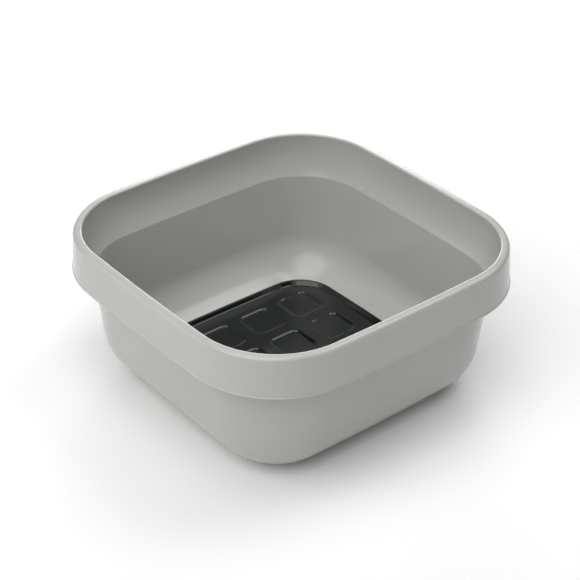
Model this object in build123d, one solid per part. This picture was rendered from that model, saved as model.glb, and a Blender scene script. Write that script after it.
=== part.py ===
from build123d import *

import os
from math import asin, atan2, cos, degrees, radians, sin, sqrt, tan

# Foot spa basin with a loose tray mat. Millimetres, +Z up.
# The origin is on the ground under the middle of the basin, and the sides face X and Y.
# Outlines are squares with bowed sides and round corners. Each is named by its half-width,
# the distance from the middle of the basin to the middle of a side, and a section is drawn
# with the half-width across and the height up.

# Plan: the outlines of a piece are concentric, about four corner axes and four flat bows.
BASIN_CORNER_AXIS = 94.0  # distance of a corner axis from the middle, along X and along Y
MAT_CORNER_AXIS = 87.5
BOW_RADIUS = 3300.0  # radius of the bowed sides where they pass through the corner axes

# Heights
FOOT_DROP = 2.0  # how far the rubber feet stand out under the base
BODY_HEIGHT = 179.0  # underside of the base to the top of the rim
BASE_Z = FOOT_DROP
RIM_Z = BASE_Z + BODY_HEIGHT

# Basin wall
WALL = 3.0
WALL_DRAFT = 6.15  # degrees from vertical
BASE_HALF_WIDTH = 165.8  # outer wall run down to the underside of the base
BOTTOM_RADIUS = 57.0  # outside radius between wall and base
FLOOR_Z = BASE_Z + WALL
FLOOR_RADIUS = BOTTOM_RADIUS - WALL

# Cove between the crease and the rim
RIM_INNER_HALF_WIDTH = 187.4
COVE_TOP_Z = RIM_Z - 7.4  # above this the inside of the rim is vertical
COVE_RADIUS = 92.0
COVE_CENTRE = (RIM_INNER_HALF_WIDTH - COVE_RADIUS, COVE_TOP_Z)
CREASE_RADIUS = 4.0

# Rim and the skirt that hangs from it
SKIRT_TOP_HALF_WIDTH = 197.2
SKIRT_HALF_WIDTH = 200.8  # over the bead along the skirt's hem
SKIRT_DROP = 46.5
SKIRT_WALL = 3.0
SKIRT_EDGE_RADIUS = 1.2
BEAD_HEIGHT = 2.2
BEAD_PROUD = 0.6  # how far the bead stands out of the skirt's face
BEAD_RADIUS = 0.5
RIM_OUTER_RADIUS = 5.0
RIM_INNER_RADIUS = 2.0
CHANNEL_RADIUS = 1.8  # roof of the channel between skirt and cove

# Rubber feet
FOOT_PLACE = 86.0  # distance of each foot's axis from the middle, along X and along Y
FOOT_RADIUS = 11.0
FOOT_EDGE_RADIUS = 0.8
SEAT_DEPTH = 1.0
SEAT_GAP = 0.4

# Tray mat: a plate whose border follows the basin and ends in a raised lip
MAT_HALF_WIDTH = 135.0
MAT_THICKNESS = 2.4
MAT_GAP = 0.4  # clearance between the rising border and the basin
MAT_RAMP = 8.0  # run over which the underside lifts off the floor
PLATE_Z = FLOOR_Z + MAT_THICKNESS
LIP_HEIGHT = 6.8  # top of the lip above the basin's floor
LIP_TOP_WIDTH = 2.6
LIP_SLOPE_RUN = 4.4
LIP_FOOT_RADIUS = 3.0
LIP_EDGE_RADIUS = 0.6
UNDER_EDGE_RADIUS = 0.3

# Wells in the mat
WELLS_ACROSS = 4
WELL_PITCH = 58.0
WELL_SIZE = 44.0
WELL_CORNER_RADIUS = 9.5
WELL_DEPTH = 1.6
WELL_WALL_RUN = 3.0
WELL_MOUTH_RADIUS = 3.0
WELL_BOTTOM_RADIUS = 4.5

ON_BASE = (Align.CENTER, Align.CENTER, Align.MIN)
SAME_HEIGHT = 1e-3


def side_middle(corner_axis):
    """Half-width of the bowed outline that passes through the corner axes."""
    return corner_axis + BOW_RADIUS - sqrt(BOW_RADIUS**2 - corner_axis**2)


def wall_half_width(z, inset=0.0):
    """Half-width of the drafted wall's surface at a height, set in by its thickness."""
    draft = radians(WALL_DRAFT)
    return BASE_HALF_WIDTH + (z - BASE_Z) * tan(draft) - inset / cos(draft)


def crease_point(radius, inset):
    """Where an arc about the cove's centre meets the drafted wall's surface."""
    draft = radians(WALL_DRAFT)
    across, height = COVE_CENTRE
    reach = (wall_half_width(height, inset) - across) * cos(draft)
    drop = sqrt(radius**2 - reach**2)
    return (
        across + reach * cos(draft) - drop * sin(draft),
        height - reach * sin(draft) - drop * cos(draft),
    )


def arc_about(centre, start, end):
    """The shorter arc about a centre from one point to another."""
    middle = Vector(*centre)
    spoke = Vector(*start) - middle
    bisector = (spoke + Vector(*end) - middle).normalized()
    return ThreePointArc(start, middle + bisector * spoke.length, end)


def section(edges, corners):
    """Closed section with some of its corners rounded, given as (point, radius) pairs."""
    face = Face(Wire(edges))
    for place, radius in corners:
        nearest = min(face.vertices(), key=lambda v: (Vector(*v) - Vector(*place)).length)
        face = fillet(nearest, radius)
    return face


def core(corner_axis, low, high):
    """Block inside the four corner axes, with the same bowed sides."""
    middle = side_middle(corner_axis)
    side = ThreePointArc((corner_axis, -corner_axis), (middle, 0), (corner_axis, corner_axis))
    outline = Wire([Rot(0, 0, 90 * turn) * side for turn in range(4)])
    return Pos(0, 0, low) * extrude(Face(outline), high - low, dir=(0, 0, 1))


def carry_round(profile, corner_axis, low, high):
    """Carry a section round the bowed square and close its middle with a core."""
    half_angle = degrees(asin(corner_axis / BOW_RADIUS))
    middle = side_middle(corner_axis)
    upright = Pos(-middle, 0, 0) * (Plane.XZ * profile)
    side_start = Rot(0, 0, -half_angle) * Pos(BOW_RADIUS, 0, 0) * upright
    side = Pos(middle - BOW_RADIUS, 0, 0) * revolve(side_start, Axis.Z, 2 * half_angle)
    corner_start = Rot(0, 0, half_angle) * upright
    corner = revolve(corner_start, Axis.Z, 90 - 2 * half_angle)
    corner = Pos(corner_axis, corner_axis, 0) * corner
    body = core(corner_axis, low, high)
    for turn in range(4):
        body = body + Rot(0, 0, 90 * turn) * side
        body = body + Rot(0, 0, 90 * turn) * corner
    return body.clean()


def basin_section():
    """From the floor up the wall and cove, over the rim and down the skirt."""
    middle = side_middle(BASIN_CORNER_AXIS)
    skirt_z = RIM_Z - SKIRT_DROP
    channel_z = RIM_Z - WALL
    cove_back = RIM_INNER_HALF_WIDTH + WALL
    base_outer = (BASE_HALF_WIDTH, BASE_Z)
    outer_crease = crease_point(COVE_RADIUS + WALL, 0)
    channel_inner = (cove_back, channel_z)
    channel_outer = (SKIRT_TOP_HALF_WIDTH - SKIRT_WALL, channel_z)
    skirt_inner = (SKIRT_HALF_WIDTH - SKIRT_WALL, skirt_z)
    skirt_outer = (SKIRT_HALF_WIDTH, skirt_z)
    bead_top = (SKIRT_HALF_WIDTH, skirt_z + BEAD_HEIGHT)
    bead_root = (SKIRT_HALF_WIDTH - BEAD_PROUD, skirt_z + BEAD_HEIGHT + BEAD_PROUD)
    rim_outer = (SKIRT_TOP_HALF_WIDTH, RIM_Z)
    rim_inner = (RIM_INNER_HALF_WIDTH, RIM_Z)
    cove_top = (RIM_INNER_HALF_WIDTH, COVE_TOP_Z)
    crease = crease_point(COVE_RADIUS, WALL)
    floor_edge = (wall_half_width(FLOOR_Z, WALL), FLOOR_Z)
    edges = [
        Line((middle, BASE_Z), base_outer),
        Line(base_outer, outer_crease),
        arc_about(COVE_CENTRE, outer_crease, (cove_back, COVE_TOP_Z)),
        Line((cove_back, COVE_TOP_Z), channel_inner),
        Line(channel_inner, channel_outer),
        Line(channel_outer, skirt_inner),
        Line(skirt_inner, skirt_outer),
        Line(skirt_outer, bead_top),
        Line(bead_top, bead_root),
        Line(bead_root, rim_outer),
        Line(rim_outer, rim_inner),
        Line(rim_inner, cove_top),
        arc_about(COVE_CENTRE, cove_top, crease),
        Line(crease, floor_edge),
        Line(floor_edge, (middle, FLOOR_Z)),
        Line((middle, FLOOR_Z), (middle, BASE_Z)),
    ]
    corners = [
        (base_outer, BOTTOM_RADIUS),
        (outer_crease, CREASE_RADIUS),
        (channel_inner, CHANNEL_RADIUS),
        (channel_outer, CHANNEL_RADIUS),
        (skirt_inner, SKIRT_EDGE_RADIUS),
        (skirt_outer, SKIRT_EDGE_RADIUS),
        (bead_top, BEAD_RADIUS),
        (bead_root, BEAD_RADIUS),
        (rim_outer, RIM_OUTER_RADIUS),
        (rim_inner, RIM_INNER_RADIUS),
        (crease, CREASE_RADIUS),
        (floor_edge, FLOOR_RADIUS),
    ]
    return section(edges, corners)


def foot_places():
    """Name and axis of each of the four feet."""
    for row, y in (("front", -FOOT_PLACE), ("rear", FOOT_PLACE)):
        for side, x in (("left", -FOOT_PLACE), ("right", FOOT_PLACE)):
            yield f"anti_slip_foot_{row}_{side}", x, y


def basin_shell():
    """One-piece moulded basin, with a shallow seat under its base for each foot."""
    shell = carry_round(basin_section(), BASIN_CORNER_AXIS, BASE_Z, FLOOR_Z)
    seat = Cylinder(FOOT_RADIUS + SEAT_GAP, SEAT_DEPTH, align=ON_BASE)
    for _, x, y in foot_places():
        shell = shell - Pos(x, y, BASE_Z) * seat
    return shell


def anti_slip_foot(x, y):
    """Round rubber pad that fills its seat's depth and stands on the ground."""
    pad = Cylinder(FOOT_RADIUS, FOOT_DROP + SEAT_DEPTH, align=ON_BASE)
    ground_edge = pad.edges().sort_by(Axis.Z)[0]
    return Pos(x, y, 0) * fillet(ground_edge, FOOT_EDGE_RADIUS)


def mat_section():
    """Along the plate, up the border that follows the basin, over the lip and back."""
    middle = side_middle(MAT_CORNER_AXIS)
    lip_z = FLOOR_Z + LIP_HEIGHT
    flat_edge = wall_half_width(FLOOR_Z, WALL) - FLOOR_RADIUS * tan(radians((90 - WALL_DRAFT) / 2))
    under_radius = FLOOR_RADIUS - MAT_GAP
    under_centre = (flat_edge, FLOOR_Z + FLOOR_RADIUS)
    under_rise = sqrt(under_radius**2 - (MAT_HALF_WIDTH - flat_edge) ** 2)
    edge_low = (MAT_HALF_WIDTH, FLOOR_Z + FLOOR_RADIUS - under_rise)
    edge_high = (MAT_HALF_WIDTH, lip_z)
    lip_top = (MAT_HALF_WIDTH - LIP_TOP_WIDTH, lip_z)
    lip_foot = (MAT_HALF_WIDTH - LIP_TOP_WIDTH - LIP_SLOPE_RUN, PLATE_Z)
    ramp_start = (flat_edge - MAT_RAMP, FLOOR_Z)
    ramp_end = (flat_edge, FLOOR_Z + MAT_GAP)
    edges = [
        Line((middle, FLOOR_Z), ramp_start),
        Line(ramp_start, ramp_end),
        arc_about(under_centre, ramp_end, edge_low),
        Line(edge_low, edge_high),
        Line(edge_high, lip_top),
        Line(lip_top, lip_foot),
        Line(lip_foot, (middle, PLATE_Z)),
        Line((middle, PLATE_Z), (middle, FLOOR_Z)),
    ]
    corners = [
        (edge_low, UNDER_EDGE_RADIUS),
        (edge_high, LIP_EDGE_RADIUS),
        (lip_top, LIP_EDGE_RADIUS),
        (lip_foot, LIP_FOOT_RADIUS),
    ]
    return section(edges, corners)


def well_places():
    """Centre of each well in the square grid."""
    reach = (WELLS_ACROSS - 1) / 2
    for row in range(WELLS_ACROSS):
        for column in range(WELLS_ACROSS):
            yield (column - reach) * WELL_PITCH, (row - reach) * WELL_PITCH


def well_edges(mat, z):
    """Edges of the wells that lie wholly at one height."""
    reach = WELLS_ACROSS * WELL_PITCH / 2
    for edge in mat.edges():
        box = edge.bounding_box()
        level = max(abs(box.min.Z - z), abs(box.max.Z - z)) < SAME_HEIGHT
        inside = max(-box.min.X, box.max.X, -box.min.Y, box.max.Y) < reach
        if level and inside and edge.length < WELL_SIZE:
            yield edge


def foot_mat():
    """Tray mat with a raised lip and a grid of shallow rounded-square wells."""
    mat = carry_round(mat_section(), MAT_CORNER_AXIS, FLOOR_Z, PLATE_Z)
    mouth = Plane.XY * RectangleRounded(WELL_SIZE, WELL_SIZE, WELL_CORNER_RADIUS)
    lean = degrees(atan2(WELL_WALL_RUN, WELL_DEPTH))
    well = extrude(mouth, WELL_DEPTH, dir=(0, 0, -1), taper=lean)
    for x, y in well_places():
        mat = mat - Pos(x, y, PLATE_Z) * well
    mat = fillet(list(well_edges(mat, PLATE_Z)), WELL_MOUTH_RADIUS)
    return fillet(list(well_edges(mat, PLATE_Z - WELL_DEPTH)), WELL_BOTTOM_RADIUS)


def main():
    parts = {"basin_shell": basin_shell(), "foot_mat": foot_mat()}
    for name, x, y in foot_places():
        parts[name] = anti_slip_foot(x, y)
    os.makedirs("parts", exist_ok=True)
    for name, solid in parts.items():
        export_step(solid, f"parts/{name}.step")


main()
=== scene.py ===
from math import cos, radians, sin

import bpy
from mathutils import Matrix, Vector


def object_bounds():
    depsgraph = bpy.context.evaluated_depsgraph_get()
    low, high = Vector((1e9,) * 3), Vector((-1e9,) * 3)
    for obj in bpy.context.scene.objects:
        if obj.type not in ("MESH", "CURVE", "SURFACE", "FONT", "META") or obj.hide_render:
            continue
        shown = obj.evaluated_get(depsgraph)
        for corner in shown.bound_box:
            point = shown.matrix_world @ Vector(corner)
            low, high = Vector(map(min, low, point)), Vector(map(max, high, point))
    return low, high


# Foot spa basin on a pale studio floor. Metres, +Z up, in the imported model's frame.

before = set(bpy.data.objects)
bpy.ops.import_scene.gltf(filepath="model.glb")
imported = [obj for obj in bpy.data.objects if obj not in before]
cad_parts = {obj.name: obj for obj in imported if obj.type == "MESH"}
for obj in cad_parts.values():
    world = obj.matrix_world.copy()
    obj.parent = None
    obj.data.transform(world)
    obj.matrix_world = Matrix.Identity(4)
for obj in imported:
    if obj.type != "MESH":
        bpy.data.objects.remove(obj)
cad_low, cad_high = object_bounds()

RIM_Z = cad_high.z
SKIRT_DROP = 0.0465
MILLIMETRE = 0.001


# Node helpers

# Sockets of a Mix node in colour mode, which shares its socket names between modes.
MIX_FIRST_COLOUR = 6
MIX_SECOND_COLOUR = 7
MIX_RESULT_COLOUR = 2


def new_material(name):
    material = bpy.data.materials.new(name)
    material.use_nodes = True
    return material, material.node_tree


def feed(tree, socket, value):
    """Link an input from another socket, or set it to a value."""
    if isinstance(value, bpy.types.NodeSocket):
        tree.links.new(value, socket)
    else:
        socket.default_value = value


def add(tree, kind, inputs=None, **settings):
    """Add a node, set its options and feed its inputs, which go by name or by number."""
    node = tree.nodes.new(kind)
    for name, value in settings.items():
        setattr(node, name, value)
    for name, value in (inputs or {}).items():
        feed(tree, node.inputs[name], value)
    return node


def object_place(tree, stretch=(1, 1, 1)):
    """The surface's place on the object, stretched along each axis."""
    coordinates = add(tree, "ShaderNodeTexCoord")
    mapping = {"Vector": coordinates.outputs["Object"], "Scale": stretch}
    return add(tree, "ShaderNodeMapping", mapping).outputs["Vector"]


def noise(tree, per_metre, detail=3.0, stretch=(1, 1, 1)):
    inputs = {"Vector": object_place(tree, stretch), "Scale": per_metre, "Detail": detail}
    return add(tree, "ShaderNodeTexNoise", inputs).outputs["Fac"]


def remap(tree, value, start, end, low, high):
    """Value between start and end, brought to between low and high and held there."""
    inputs = {"Value": value, "From Min": start, "From Max": end, "To Min": low, "To Max": high}
    node = add(tree, "ShaderNodeMapRange", inputs, interpolation_type="SMOOTHSTEP")
    return node.outputs["Result"]


def combine(tree, operation, first, second):
    node = add(tree, "ShaderNodeMath", {0: first, 1: second}, operation=operation)
    return node.outputs["Value"]


def opaque(colour):
    """A colour with full alpha, unless it comes from a socket."""
    return colour if isinstance(colour, bpy.types.NodeSocket) else (*colour, 1)


def blend_colours(tree, amount, first, second):
    """First colour where the amount is 0, second where it is 1."""
    inputs = {"Factor": amount, MIX_FIRST_COLOUR: opaque(first), MIX_SECOND_COLOUR: opaque(second)}
    return add(tree, "ShaderNodeMix", inputs, data_type="RGBA").outputs[MIX_RESULT_COLOUR]


def height_band(tree, low, high, edge):
    """1 between two heights, fading to 0 over an edge's width outside them."""
    place = add(tree, "ShaderNodeSeparateXYZ", {"Vector": object_place(tree)})
    height = place.outputs["Z"]
    above = remap(tree, height, low - edge, low, 0, 1)
    below = remap(tree, height, high, high + edge, 1, 0)
    return combine(tree, "MULTIPLY", above, below)


def bumps(tree, layers):
    """Normal from several layers of height, each with a depth in metres."""
    normal = None
    for height, depth, strength in layers:
        inputs = {"Height": height, "Distance": depth, "Strength": strength}
        if normal is not None:
            inputs["Normal"] = normal
        normal = add(tree, "ShaderNodeBump", inputs).outputs["Normal"]
    return normal


def finish_shader(tree, colour, roughness, normal):
    shader = tree.nodes["Principled BSDF"]
    tree.links.new(colour, shader.inputs["Base Color"])
    tree.links.new(roughness, shader.inputs["Roughness"])
    tree.links.new(normal, shader.inputs["Normal"])
    return shader


# Materials

def basin_plastic():
    """Moulded grey polypropylene: satin gloss, faint ripple, scuffs where it is set down or held."""
    material, tree = new_material("basin_plastic")
    tone = remap(tree, noise(tree, 7, 2), 0.35, 0.65, 0, 1)
    clean = blend_colours(tree, tone, (0.452, 0.456, 0.434), (0.458, 0.462, 0.440))
    base_zone = height_band(tree, 0.0, 5 * MILLIMETRE, 8 * MILLIMETRE)
    hem = RIM_Z - SKIRT_DROP
    hem_zone = height_band(tree, hem, hem + 0.5 * MILLIMETRE, 2 * MILLIMETRE)
    worn_zone = combine(tree, "MAXIMUM", base_zone, combine(tree, "MULTIPLY", hem_zone, 0.6))
    scratches = remap(tree, noise(tree, 260, 4, (1, 0.25, 1)), 0.56, 0.66, 0, 1)
    scuffs = combine(tree, "MULTIPLY", worn_zone, scratches)
    colour = blend_colours(tree, combine(tree, "MULTIPLY", scuffs, 0.5), clean, (0.56, 0.56, 0.54))
    smears = remap(tree, noise(tree, 22, 3), 0.25, 0.75, 0.14, 0.19)
    roughness = combine(tree, "ADD", smears, combine(tree, "MULTIPLY", scuffs, 0.22))
    ripple = (noise(tree, 40, 1), 0.3 * MILLIMETRE, 0.03)
    grain = (noise(tree, 1500, 2), 0.01 * MILLIMETRE, 0.1)
    finish_shader(tree, colour, roughness, bumps(tree, [ripple, grain]))
    return material


def mat_plastic():
    """Black glossy sheet, with a faint bluish haze and fine rubbed lines."""
    material, tree = new_material("mat_plastic")
    haze = remap(tree, noise(tree, 16, 4), 0.35, 0.7, 0, 1)
    clean = blend_colours(tree, haze, (0.0065, 0.0085, 0.0080), (0.0100, 0.0125, 0.0120))
    lines = remap(tree, noise(tree, 420, 3, (1, 0.08, 1)), 0.60, 0.72, 0, 1)
    colour = blend_colours(tree, combine(tree, "MULTIPLY", lines, 0.25), clean, (0.030, 0.033, 0.032))
    rubbed = remap(tree, noise(tree, 30, 5), 0.35, 0.7, 0.07, 0.13)
    roughness = combine(tree, "ADD", rubbed, combine(tree, "MULTIPLY", lines, 0.10))
    ripple = (noise(tree, 70, 1), 0.3 * MILLIMETRE, 0.10)
    grain = (noise(tree, 1800, 2), 0.01 * MILLIMETRE, 0.1)
    finish_shader(tree, colour, roughness, bumps(tree, [ripple, grain]))
    return material


def foot_rubber():
    """Matt grey rubber, paler where dust has rubbed in."""
    material, tree = new_material("foot_rubber")
    dust = remap(tree, noise(tree, 500, 5), 0.45, 0.75, 0, 1)
    colour = blend_colours(tree, dust, (0.026, 0.026, 0.027), (0.060, 0.058, 0.055))
    roughness = remap(tree, noise(tree, 300, 3), 0.3, 0.7, 0.62, 0.80)
    grain = (noise(tree, 2500, 3), 0.08 * MILLIMETRE, 0.5)
    finish_shader(tree, colour, roughness, bumps(tree, [grain]))
    return material


def dress(node, material):
    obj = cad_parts[node]
    for slot in obj.material_slots:
        slot.material = material


def dress_all():
    dress("basin_shell", basin_plastic())
    dress("foot_mat", mat_plastic())
    rubber = foot_rubber()
    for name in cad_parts:
        if name.startswith("anti_slip_foot"):
            dress(name, rubber)


# Studio

CAMERA_TURN = radians(50.7475)
CAMERA_DOWN = radians(33.323)
CAMERA_ROLL = radians(0.281)
CAMERA_AWAY = Vector((-0.941, -1.1565, 0.9012))
CAMERA_AIM_DROP = 0.2 * MILLIMETRE  # height of the camera's reference point below the rim
CAMERA_LENS = 100.73
CAMERA_SHIFT = (-0.0046, 0.0068)
FLOOR_REACH = 6.0
FLOOR_GLOW = 0.03
FLOOR_SPECULAR = 0.1
WORLD_STRENGTH = 0.02
WHITE = (1, 1, 1)

# Place of the large light over the near left side, which a wider and weaker one softens.
KEY_AZIMUTH = 200
KEY_ELEVATION = 57
LIGHT_DISTANCE = 2.2
SPREAD_DISTANCE = 2.3


def make_camera():
    """Long lens, looking down on the near corner of the basin."""
    turn = Matrix.Rotation(CAMERA_TURN - radians(90), 4, "Z")
    tilt = Matrix.Rotation(radians(90) - CAMERA_DOWN, 4, "X")
    roll = Matrix.Rotation(CAMERA_ROLL, 4, "Z")
    data = bpy.data.cameras.new("camera")
    data.sensor_width = 36.0
    data.lens = CAMERA_LENS
    data.shift_x, data.shift_y = CAMERA_SHIFT
    camera = bpy.data.objects.new("camera", data)
    rim = Vector((0, 0, RIM_Z - CAMERA_AIM_DROP))
    camera.matrix_world = Matrix.Translation(rim + CAMERA_AWAY) @ turn @ tilt @ roll
    bpy.context.collection.objects.link(camera)
    bpy.context.scene.camera = camera


def make_floor():
    """Square of pale paper, with its middle under the basin."""
    mesh = bpy.data.meshes.new("floor")
    signs = [(-1, -1), (1, -1), (1, 1), (-1, 1)]
    corners = [(x * FLOOR_REACH, y * FLOOR_REACH, 0) for x, y in signs]
    mesh.from_pydata(corners, [], [(0, 1, 2, 3)])
    floor = bpy.data.objects.new("floor", mesh)
    bpy.context.collection.objects.link(floor)
    material, tree = new_material("floor_paper")
    tone = remap(tree, noise(tree, 3, 3), 0.3, 0.7, 0, 1)
    colour = blend_colours(tree, tone, (0.90, 0.90, 0.90), (0.92, 0.92, 0.92))
    roughness = remap(tree, noise(tree, 400, 3), 0.3, 0.7, 0.85, 0.95)
    grain = (noise(tree, 900, 2), 0.1 * MILLIMETRE, 0.2)
    shader = finish_shader(tree, colour, roughness, bumps(tree, [grain]))
    shader.inputs["Specular IOR Level"].default_value = FLOOR_SPECULAR
    shader.inputs["Emission Color"].default_value = opaque(WHITE)
    shader.inputs["Emission Strength"].default_value = FLOOR_GLOW
    mesh.materials.append(material)


def softbox(name, azimuth, elevation, distance, size, power):
    """Round area light aimed at the basin. Azimuth is counted from +X towards +Y."""
    flat = distance * cos(radians(elevation))
    around = radians(azimuth)
    place = Vector((flat * cos(around), flat * sin(around), distance * sin(radians(elevation))))
    data = bpy.data.lights.new(name, "AREA")
    data.shape = "DISK"
    data.size = size
    data.energy = power
    light = bpy.data.objects.new(name, data)
    light.location = place
    aim = Vector((0, 0, RIM_Z / 2)) - place
    light.rotation_euler = aim.to_track_quat("-Z", "Y").to_euler()
    bpy.context.collection.objects.link(light)


def make_lights():
    softbox("key_light", KEY_AZIMUTH, KEY_ELEVATION, LIGHT_DISTANCE, 2.2, 20)
    softbox("key_spread_light", KEY_AZIMUTH, KEY_ELEVATION, SPREAD_DISTANCE, 3.4, 29)
    softbox("over_back_light", 348, 57, LIGHT_DISTANCE, 1.4, 13)
    softbox("top_light", 40, 80, LIGHT_DISTANCE, 1.6, 9)
    softbox("back_light", 51, 20, LIGHT_DISTANCE, 1.3, 19)
    softbox("side_light", 141, 20, LIGHT_DISTANCE, 1.3, 7)
    world = bpy.data.worlds.new("studio")
    world.use_nodes = True
    background = world.node_tree.nodes["Background"]
    background.inputs["Color"].default_value = opaque(WHITE)
    background.inputs["Strength"].default_value = WORLD_STRENGTH
    bpy.context.scene.world = world
    bpy.context.scene.view_settings.view_transform = "Standard"


dress_all()
make_camera()
make_floor()
make_lights()
